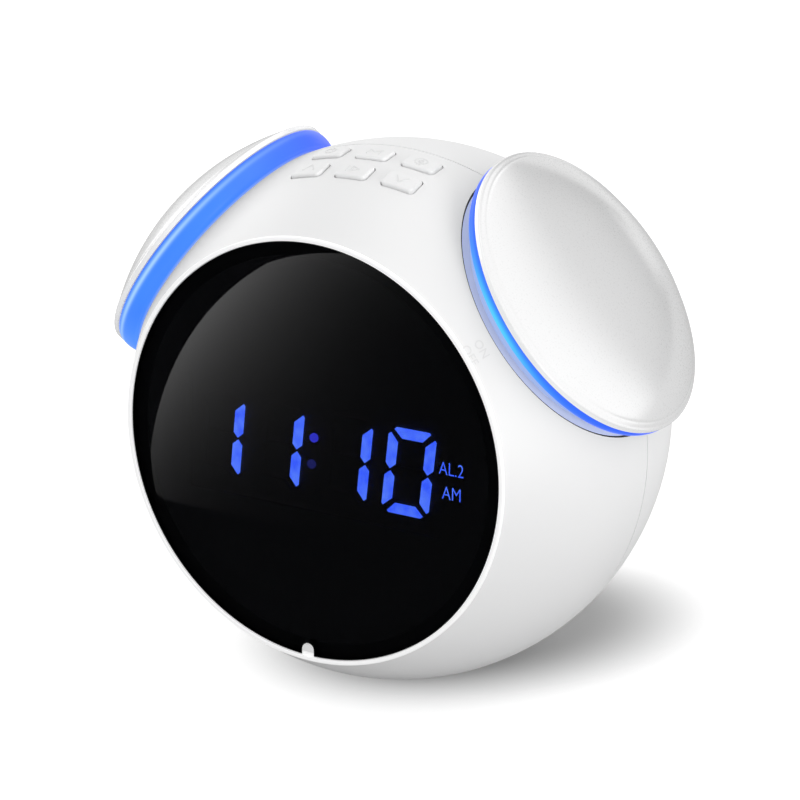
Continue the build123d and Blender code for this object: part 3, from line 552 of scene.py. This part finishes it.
# small words on the display

def wordPoints(text, height, stroke):
    # flat letters of a height about their middle, strokes made thinner or bolder, as points and faces
    curve = bpy.data.curves.new("word", "FONT")
    curve.body = text
    curve.size = 1.0
    curve.align_x, curve.align_y = "CENTER", "CENTER"
    curve.resolution_u = 4
    curve.offset = stroke
    holder = bpy.data.objects.new("word", curve)
    scene.collection.objects.link(holder)
    bpy.context.view_layer.update()
    mesh = bpy.data.meshes.new_from_object(holder.evaluated_get(bpy.context.evaluated_depsgraph_get()))
    flat = np.zeros(len(mesh.vertices) * 3)
    mesh.vertices.foreach_get("co", flat)
    flat = flat.reshape(-1, 3)
    faces = [list(p.vertices) for p in mesh.polygons]
    bpy.data.objects.remove(holder)
    span = flat[:, 1].max() - flat[:, 1].min()
    flat = (flat - (flat.max(0) + flat.min(0)) / 2) * height / span
    return flat, faces


annunciator = dict(front=34.87, thickness=0.06, stroke=-0.012, narrow=0.78,
                   words=(("AL.2", 32.4, 2.4, 2.6), ("AM", 32.5, -2.6, 2.6)))

for text, x, y, height in annunciator["words"]:
    flat, faces = wordPoints(text, height, annunciator["stroke"])
    local = flat * (annunciator["narrow"], 1, 1) + (x, y, annunciator["front"])
    raisedMesh("word" + text.replace(".", ""), local @ lensFrame, faces, annunciator["thickness"],
               finishes["lit_blue"], "case")
print("words made")


# faint raised marks: a sign on each key, a word or two signs beside each ear, in a darker grey that is painted shade
# of their relief

reliefPaintedShadeGrey = moulded("reliefPaintedShadeGrey", (0.79, 0.79, 0.792), (0.77, 0.77, 0.773), (0.4, 0.48), 2600, 0.1, shine=0.3)
keys = dict(pitch=(10.75, 8.3), topRadius=58.75, raised=0.1, stroke=0.26, overlap=0.3, arcSteps=25)


def ringLine(radius, start, end):
    return arc((0, 0), radius, start, end, keys["arcSteps"])


keyMarks = dict(
    front_left=[np.array([(-1.3, -0.9), (0, 1.1), (1.3, -0.9)])],
    front_middle=[np.array([(-1.5, -0.9), (-1.5, 0.9)]),
                  np.array([(-0.6, -0.9), (1.2, 0), (-0.6, 0.9), (-0.6, -0.9)])],
    front_right=[np.array([(-1.3, 0.9), (0, -1.1), (1.3, 0.9)])],
    rear_left=[ringLine(1.15, 120, 420), np.array([(0, 0.5), (0, 1.6)])],
    rear_middle=[np.array([(-1.4, -1.0), (-1.4, 1.0), (0.0, -0.2), (1.4, 1.0), (1.4, -1.0)])],
    rear_right=[ringLine(1.3, 0, 360), ringLine(0.45, 0, 360)],
)


def strokeFaces(lines, width, overlap):
    # each step of a line becomes one flat quad of the width, lengthened by a share of it at both ends
    corners = []
    for points in lines:
        start, end = points[:-1], points[1:]
        along = (end - start) / np.linalg.norm(end - start, axis=1)[:, None]
        over = np.stack([-along[:, 1], along[:, 0]], -1) * width / 2
        start, end = start - along * width * overlap, end + along * width * overlap
        corners.append(np.stack([start - over, end - over, end + over, start + over], 1))
    flat = np.concatenate(corners).reshape(-1, 2)
    return flat, np.arange(len(flat)).reshape(-1, 4).tolist()


def ontoSphere(flat, radius):
    return np.stack([flat[:, 0], flat[:, 1], np.sqrt(radius ** 2 - flat[:, 0] ** 2 - flat[:, 1] ** 2)], -1)


for name, lines in keyMarks.items():
    row, column = name.split("_")
    place = np.array([("left", "middle", "right").index(column) - 1, ("front", "rear").index(row) - 0.5])
    flat, faces = strokeFaces(lines, keys["stroke"], keys["overlap"])
    points = ontoSphere(flat + place * keys["pitch"], keys["topRadius"] + keys["raised"]) @ keyFrame
    raisedMesh(f"mark_{name}", points, faces, 2 * keys["raised"], reliefPaintedShadeGrey, f"key_{name}")

earWords = dict(height=1.7, signHeight=0.6 * 1.7, gap=2.7, raised=0.07,
                right=dict(lines=("ON", "OFF"), at=(0.641, -0.573, 0.510)),
                left=dict(lines=("-   +",), at=(-0.6205, -0.587, 0.520)))
for name in sides:
    word = earWords[name]
    place = ballFrame(word["at"], earFrame(sides[name], ear["tilt"])[2])
    for i, text in enumerate(word["lines"]):
        flat, faces = wordPoints(text, earWords["height" if text.isalpha() else "signHeight"], 0.0)
        lift = earWords["gap"] * ((len(word["lines"]) - 1) / 2 - i)
        points = ontoSphere(flat[:, :2] + (0, lift), ball["radius"] + earWords["raised"]) @ place
        raisedMesh(f"{name}Word{i}", points, faces, 2 * earWords["raised"], reliefPaintedShadeGrey, "case")
print("marks raised")


# studio: pale floor with a painted shadow, white backdrop, soft lamps, and two cards that only mirroring surfaces see

studio = dict(floorHalf=1500.0, floorSteps=9, floorColour=(0.48, 0.48, 0.48), floorLift=0.73, ambient=0.77,
              backdrop=1.0)
# ellipse of the painted shadow: centre and half axes in metres, turn in degrees, and where the fade begins
paintedShadow = dict(centre=(0.0105, 0.0137), half=(0.0633, 0.0431), turn=39.1, start=0.39)


def rayShare(tree):
    # 1 where the ray comes from the camera or through glass
    path = addNode(tree, "ShaderNodeLightPath").outputs
    share = {0: path["Is Camera Ray"], 1: path["Is Transmission Ray"]}
    return addNode(tree, "ShaderNodeMath", share, operation="MAXIMUM").outputs[0]


def floorFinish():
    material, tree, shader = newMaterial("floorPaper")
    shade = noiseOn(tree, 30, 2).outputs["Fac"]
    tone = studio["floorColour"]
    tree.links.new(mixColour(tree, shade, tone, tuple(0.99 * c for c in tone)), shader.inputs["Base Color"])
    shader.inputs["Roughness"].default_value = 0.9
    shader.inputs["Specular IOR Level"].default_value = 0.0
    shader.inputs["Emission Color"].default_value = (1, 1, 1, 1)
    # the lift fades in from an ellipse under the ball, so the floor stays darker there: a painted shadow laid over the
    # real one
    coords = addNode(tree, "ShaderNodeTexCoord").outputs["Object"]
    ellipse = {"Vector": coords, "Location": (*paintedShadow["centre"], 0), "Scale": (*paintedShadow["half"], 1),
               "Rotation": (0, 0, math.radians(paintedShadow["turn"]))}
    placed = addNode(tree, "ShaderNodeMapping", ellipse, vector_type="TEXTURE").outputs["Vector"]
    reach = addNode(tree, "ShaderNodeVectorMath", {0: placed}, operation="LENGTH").outputs["Value"]
    fade = addNode(tree, "ShaderNodeMapRange", {"Value": reach, "From Min": paintedShadow["start"], "From Max": 1.0,
                                                "To Max": studio["floorLift"]}, interpolation_type="SMOOTHSTEP")
    lift = addNode(tree, "ShaderNodeMath", {0: rayShare(tree), 1: fade.outputs["Result"]}, operation="MULTIPLY")
    tree.links.new(lift.outputs[0], shader.inputs["Emission Strength"])
    return material


def makeFloor():
    # a flat grid at the pad's underside
    steps = studio["floorSteps"]
    span = np.linspace(-studio["floorHalf"], studio["floorHalf"], steps)
    x, y = np.meshgrid(span, span, indexing="ij")
    points = np.stack([x, y, 0 * x - ball["centreHeight"]], -1).reshape(-1, 3)
    floor = makePiece("floor", points, gridFaces(steps, steps, False, False), floorFinish(), None)
    if floor.data.polygons[0].normal.z < 0:
        floor.data.flip_normals()


def makeWorld():
    world = bpy.data.worlds.new("studioWorld")
    world.use_nodes = True
    tree = world.node_tree
    ambient = tree.nodes["Background"]
    ambient.inputs["Color"].default_value = (1, 1, 1, 1)
    ambient.inputs["Strength"].default_value = studio["ambient"]
    backdrop = addNode(tree, "ShaderNodeBackground", {"Color": (1, 1, 1, 1), "Strength": studio["backdrop"]})
    both = {0: rayShare(tree), 1: ambient.outputs[0], 2: backdrop.outputs[0]}
    mixed = addNode(tree, "ShaderNodeMixShader", both)
    tree.links.new(mixed.outputs[0], tree.nodes["World Output"].inputs["Surface"])
    scene.world = world


lamps = dict(
    left=dict(place=(-1.1, 0.1, 0.5), size=1.2, watts=6.5),
    right=dict(place=(1.1, 0.15, 0.45), size=0.8, watts=0.6),
    lowRight=dict(place=(1.0, -0.55, 0.05), size=0.5, watts=6.2),
    back=dict(place=(0.5, 0.9, 0.5), size=1.2, watts=2.8),
)


def placedAt(axes, place):
    # axes are the object's own directions, one a row
    return Matrix([[*axes[:, i], place[i]] for i in range(3)] + [[0, 0, 0, 1]])


def makeLamp(name, place, size, watts):
    data = bpy.data.lights.new(name, "AREA")
    data.shape = "DISK"
    data.size = size
    data.energy = watts
    lamp = bpy.data.objects.new(name, data)
    turned = ballFrame(np.array(place) - ballCentre * mm, (0, 0, 1))
    lamp.matrix_world = placedAt(turned, place)
    scene.collection.objects.link(lamp)


photoCamera = dict(azimuth=31.171, elevation=21.38, roll=-1.916, distance=475.2, lens=99.35,
                   shift=(-0.00125, 0.01))
lensCard = dict(gap=22.0, wider=1.2, steps=121, glowCentre=(23.6, -16.0), glowRadius=63.6, glowTurn=138.0,
                glowSpread=22.5, fade=9.0, edge=0.15, strength=1.75)


def cameraAxes():
    az, el, roll = (math.radians(photoCamera[k]) for k in ("azimuth", "elevation", "roll"))
    right = np.array([math.cos(az), math.sin(az), 0])
    up = np.array([-math.sin(az) * math.sin(el), math.cos(az) * math.sin(el), math.cos(el)])
    back = np.array([math.sin(az) * math.cos(el), -math.cos(az) * math.cos(el), math.sin(el)])
    return right * math.cos(roll) + up * math.sin(roll), up * math.cos(roll) - right * math.sin(roll), back


def makeCamera():
    right, up, back = cameraAxes()
    place = (back * photoCamera["distance"] + ballCentre) * mm
    data = bpy.data.cameras.new("photoCamera")
    data.sensor_width = 36
    data.lens = photoCamera["lens"]
    data.shift_x, data.shift_y = photoCamera["shift"]
    data.clip_start = 0.01
    camera = bpy.data.objects.new("photoCamera", data)
    camera.matrix_world = placedAt(np.array([right, up, back]), place)
    scene.collection.objects.link(camera)
    scene.camera = camera


def makeLensCard():
    # a card in front of the lens that only mirrors see: dark, with one curved edge that fades inwards
    mirrorEye = cameraAxes()[2] * photoCamera["distance"]
    local = lensFrame @ mirrorEye
    depth = local[2] - ball["lensPlane"]
    steps = lensCard["steps"]
    span = np.linspace(-lensCard["wider"] * ball["lensRadius"], lensCard["wider"] * ball["lensRadius"], steps)
    x, y = np.meshgrid(span, span, indexing="ij")
    grow = lensCard["gap"] / depth
    cardX, cardY = x + (x - local[0]) * grow, y + (y - local[1]) * grow
    fromX, fromY = x - lensCard["glowCentre"][0], y - lensCard["glowCentre"][1]
    inside = lensCard["glowRadius"] - np.hypot(fromX, fromY)
    points = np.stack([cardX, cardY, 0 * x + ball["lensPlane"] + lensCard["gap"]], -1).reshape(-1, 3)
    turn = np.degrees(np.arctan2(fromY, fromX))
    glow = np.exp(-((turn - lensCard["glowTurn"]) / lensCard["glowSpread"]) ** 2 / 2)
    material, tree, shader = newMaterial("lensCard")
    tree.nodes.remove(shader)
    depthIn = addNode(tree, "ShaderNodeAttribute", attribute_name="inside").outputs["Fac"]
    side = addNode(tree, "ShaderNodeAttribute", attribute_name="glow").outputs["Fac"]
    fade = addNode(tree, "ShaderNodeMath", {0: depthIn, 1: -1 / lensCard["fade"]}, operation="MULTIPLY")
    fade = addNode(tree, "ShaderNodeMath", {0: fade.outputs[0]}, operation="EXPONENT")
    edge = addNode(tree, "ShaderNodeMapRange", {"Value": depthIn, "From Min": -lensCard["edge"],
                                                "From Max": lensCard["edge"]})
    level = fade.outputs[0]
    for factor in (edge.outputs["Result"], side, lensCard["strength"]):
        level = addNode(tree, "ShaderNodeMath", {0: level, 1: factor}, operation="MULTIPLY").outputs[0]
    emission = addNode(tree, "ShaderNodeEmission", {"Strength": level})
    tree.links.new(emission.outputs[0], tree.nodes["Material Output"].inputs["Surface"])
    card = makePiece("lensCard", points @ lensFrame, gridFaces(steps, steps, False, False), material, None,
                     values=dict(inside=inside, glow=glow))
    card.visible_camera = card.visible_diffuse = card.visible_shadow = card.visible_transmission = False


sideCard = dict(away=300.0, turns=(-10.0, 100.0), rows=53, width=(-235.0, 500.0), columns=111,
                far=(850.0, 1350.0, 2300.0), edgeLow=41.4, edgeCurve=0.0783, edgeTurn=38.6, fade=94.0, strength=2.9)


def makeSideCard():
    # a sheet on the right bent up over the object, seen in glossy surfaces only, its glow fading out to the back
    turns = np.linspace(*sideCard["turns"], sideCard["rows"])
    places = np.concatenate([np.linspace(*sideCard["width"], sideCard["columns"]), sideCard["far"]])
    turn, y = np.meshgrid(turns, places, indexing="ij")
    x, z = sideCard["away"] * np.cos(np.radians(turn)), sideCard["away"] * np.sin(np.radians(turn))
    points = np.stack([x, y, z], -1).reshape(-1, 3)
    edge = sideCard["edgeLow"] + sideCard["edgeCurve"] * (turn - sideCard["edgeTurn"]) ** 2
    share = np.clip((edge + sideCard["fade"] - y) / (2 * sideCard["fade"]), 0, 1)
    material, tree, shader = newMaterial("sideCard")
    tree.nodes.remove(shader)
    glow = addNode(tree, "ShaderNodeAttribute", attribute_name="glow").outputs["Fac"]
    level = addNode(tree, "ShaderNodeMath", {0: glow, 1: sideCard["strength"]}, operation="MULTIPLY")
    emission = addNode(tree, "ShaderNodeEmission", {"Strength": level.outputs[0]})
    tree.links.new(emission.outputs[0], tree.nodes["Material Output"].inputs["Surface"])
    card = makePiece("sideCard", points, gridFaces(*turn.shape, False, False), material, None,
                     values=dict(glow=share * share * (3 - 2 * share)))
    card.visible_camera = card.visible_diffuse = card.visible_shadow = card.visible_transmission = False


makeCamera()
makeFloor()
makeWorld()
makeLensCard()
makeSideCard()
for name, lamp in lamps.items():
    makeLamp(name, **lamp)
print("studio set")
